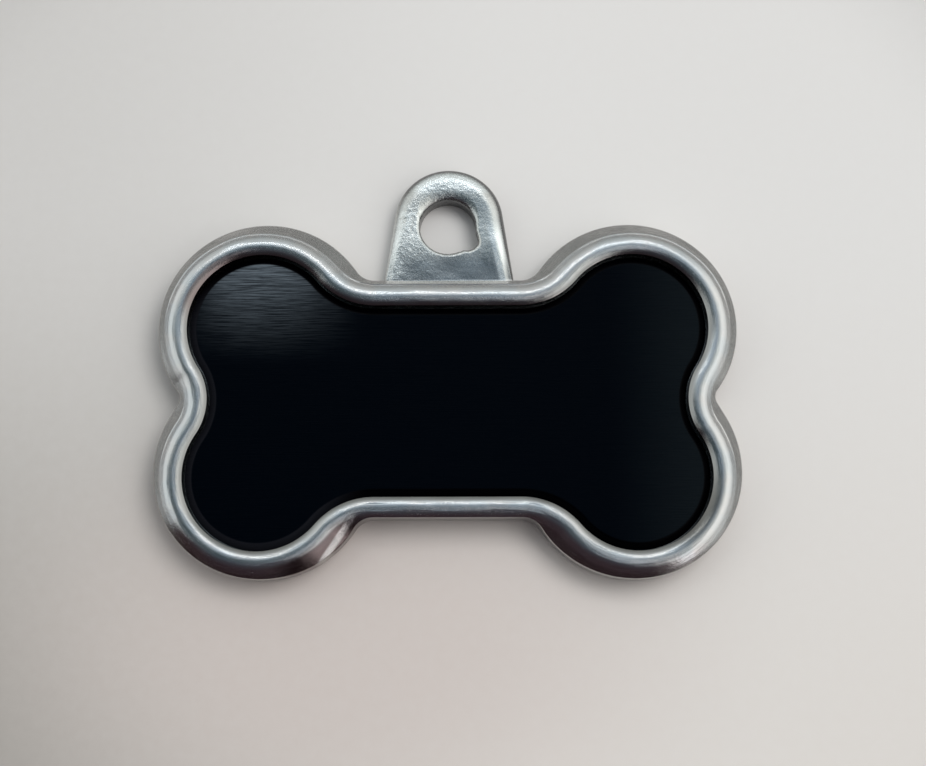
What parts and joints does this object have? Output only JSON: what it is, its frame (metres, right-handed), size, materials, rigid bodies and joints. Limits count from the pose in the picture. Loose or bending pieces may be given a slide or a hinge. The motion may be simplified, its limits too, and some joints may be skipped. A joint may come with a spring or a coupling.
{
  "type": "pet id tag",
  "caption": "Bone-shaped pet id tag: a die-cast metal frame with a rounded rim and a holed hanging tab, and a black brushed face plate bonded in its recess.",
  "frame": {"origin": "middle of the bone, on the flat back", "axes": "+X along the bone, +Y towards the hanging tab, +Z out of the front"},
  "size_m": [0.038, 0.0277, 0.0028],
  "materials": {
    "cast_metal": "plated zinc die casting, satin polished on the rim and as cast on the tab",
    "black_anodised": "black anodised aluminium, brushed along the bone",
    "adhesive": "clear adhesive film"
  },
  "bodies": {
    "root": {"cast_frame": "cast_metal", "face_plate": "black_anodised", "adhesive_film": "adhesive"}
  },
  "joints": []
}
